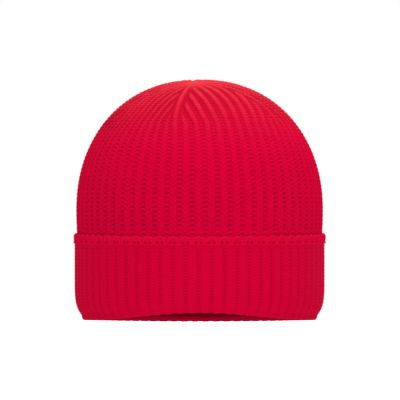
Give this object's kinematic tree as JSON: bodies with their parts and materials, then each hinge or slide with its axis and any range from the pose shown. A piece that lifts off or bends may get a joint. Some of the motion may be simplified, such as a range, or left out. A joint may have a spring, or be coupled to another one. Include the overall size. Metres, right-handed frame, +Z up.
{
  "type": "knit beanie",
  "caption": "Close-fitting rib-knit beanie: rounded crown drawn up at the top, tall side wall and a turned-up cuff, worn to keep the head warm.",
  "frame": {"origin": "centre of the head opening, on the plane that the hem stands on", "axes": "+Z up to the crown, -Y the front over the forehead, +X the right side as seen from the front"},
  "size_m": [0.1818, 0.2, 0.1759],
  "materials": {
    "knit_wall": "matt red rib knit of soft acrylic yarn, outer face",
    "knit_cuff": "matt red rib knit of soft acrylic yarn, turned face",
    "drawing_yarn": "matt red knitting yarn",
    "sewing_thread": "red linking yarn and thread",
    "label_ribbon": "blank off-white satin ribbon"
  },
  "bodies": {
    "hat": {"side_wall": "knit_wall", "cuff": "knit_cuff", "cuff_welt": "knit_cuff", "crown_section_1": "knit_wall", "crown_section_2": "knit_wall", "crown_section_3": "knit_wall", "crown_section_4": "knit_wall", "crown_section_5": "knit_wall", "crown_section_6": "knit_wall", "crown_gather": "drawing_yarn", "gather_knot": "drawing_yarn", "back_seam": "sewing_thread", "label_stitching": "sewing_thread"},
    "label": {"care_label": "label_ribbon"}
  },
  "joints": [
    {"name": "label_flap", "type": "hinge", "parent": "hat", "child": "label", "pos_m": [0, 0.08674, 0.0625], "axis": [-1, 0, 0], "range_deg": [0, 90]}
  ]
}
